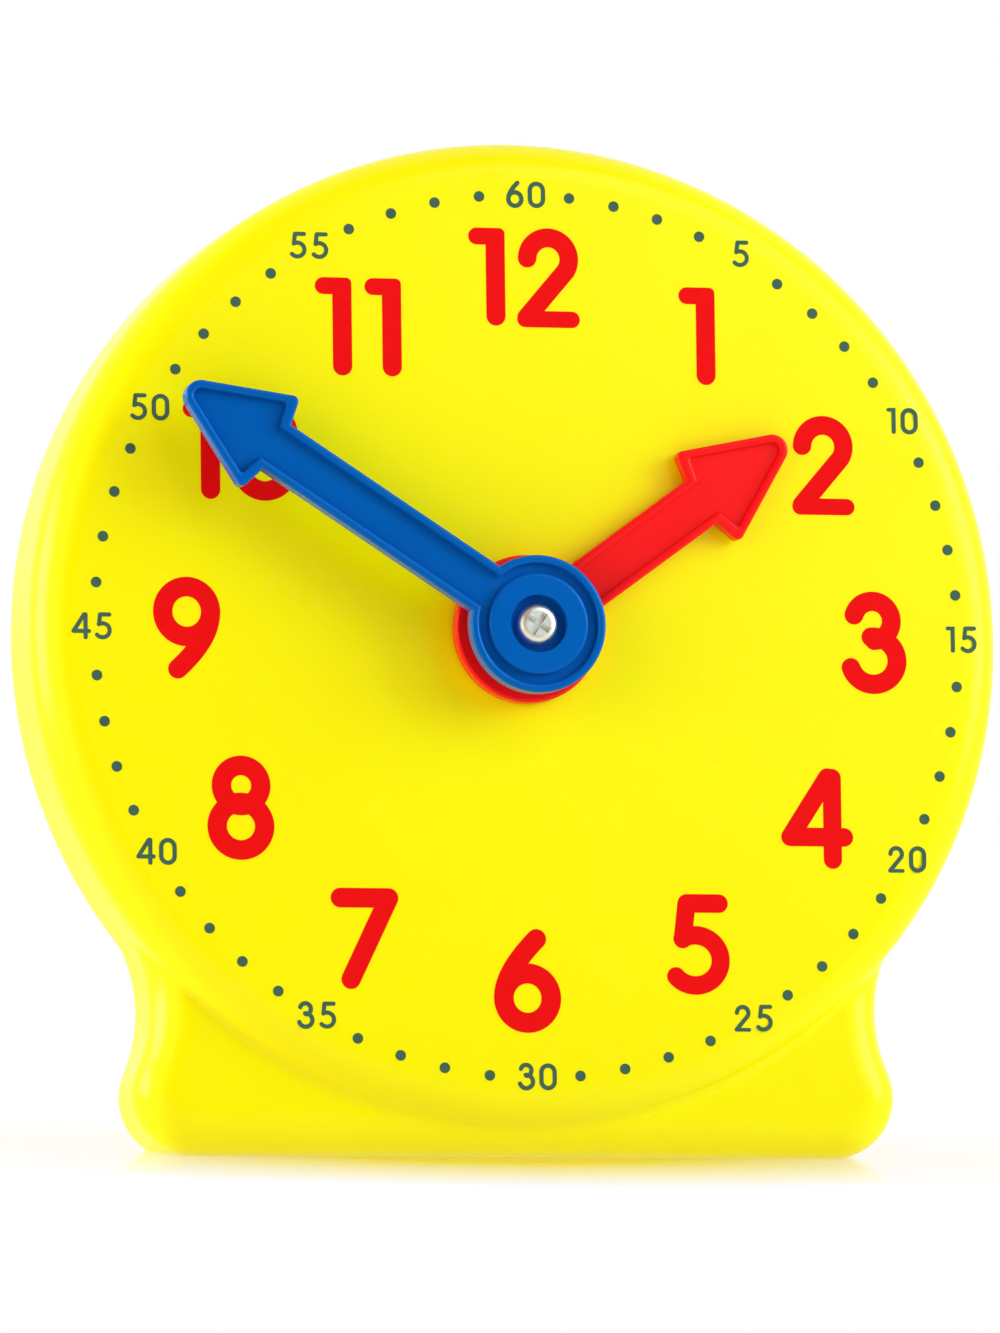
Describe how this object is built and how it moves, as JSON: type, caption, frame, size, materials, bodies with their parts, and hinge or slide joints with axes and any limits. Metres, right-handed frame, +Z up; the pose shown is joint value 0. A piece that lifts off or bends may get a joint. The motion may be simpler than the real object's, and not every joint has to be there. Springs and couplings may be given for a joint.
{
  "type": "geared teaching clock",
  "caption": "Small freestanding teaching clock: a round dial on a footed base, with minute and hour hands driven together by a gear train.",
  "frame": {"origin": "centre of the whole clock's box, on the surface that it stands on", "axes": "+Z up, the dial faces -Y and leans back towards +Y, +X to the right of a viewer who faces the dial"},
  "size_m": [0.1016, 0.0284, 0.1036],
  "materials": {
    "case_plastic": "smooth moulded, satin gloss",
    "hour_hand_plastic": "smooth moulded, satin gloss",
    "minute_hand_plastic": "smooth moulded, satin gloss",
    "gear_plastic": "natural acetal, matt",
    "screw_steel": "bright nickel plate",
    "spring_steel": "rolled spring steel",
    "numeral_ink": "pad printed ink",
    "minute_ink": "pad printed ink"
  },
  "bodies": {
    "case": {"front_case": "case_plastic", "back_case": "case_plastic", "case_screws": "screw_steel", "intermediate_pin": "screw_steel", "friction_washer": "spring_steel"},
    "minute_train": {"minute_arbor": "gear_plastic", "minute_hand": "minute_hand_plastic", "hand_screw": "screw_steel"},
    "intermediate_train": {"intermediate_wheel": "gear_plastic"},
    "hour_train": {"hour_wheel": "gear_plastic", "hour_hand": "hour_hand_plastic"}
  },
  "joints": [
    {"name": "minute_turn", "type": "hinge", "parent": "case", "child": "minute_train", "pos_m": [0, -0.00643, 0.0538], "axis": [0, 0.9903, -0.1392], "continuous": true},
    {"name": "intermediate_turn", "type": "hinge", "parent": "case", "child": "intermediate_train", "pos_m": [0, -0.00307, 0.07768], "axis": [0, 0.9903, -0.1392], "continuous": true},
    {"name": "hour_turn", "type": "hinge", "parent": "case", "child": "hour_train", "pos_m": [0, -0.00643, 0.0538], "axis": [0, 0.9903, -0.1392], "continuous": true}
  ],
  "couplings": [
    {"joint": "intermediate_turn", "follows": "minute_turn", "ratio": -0.33333},
    {"joint": "hour_turn", "follows": "minute_turn", "ratio": 0.083333}
  ]
}
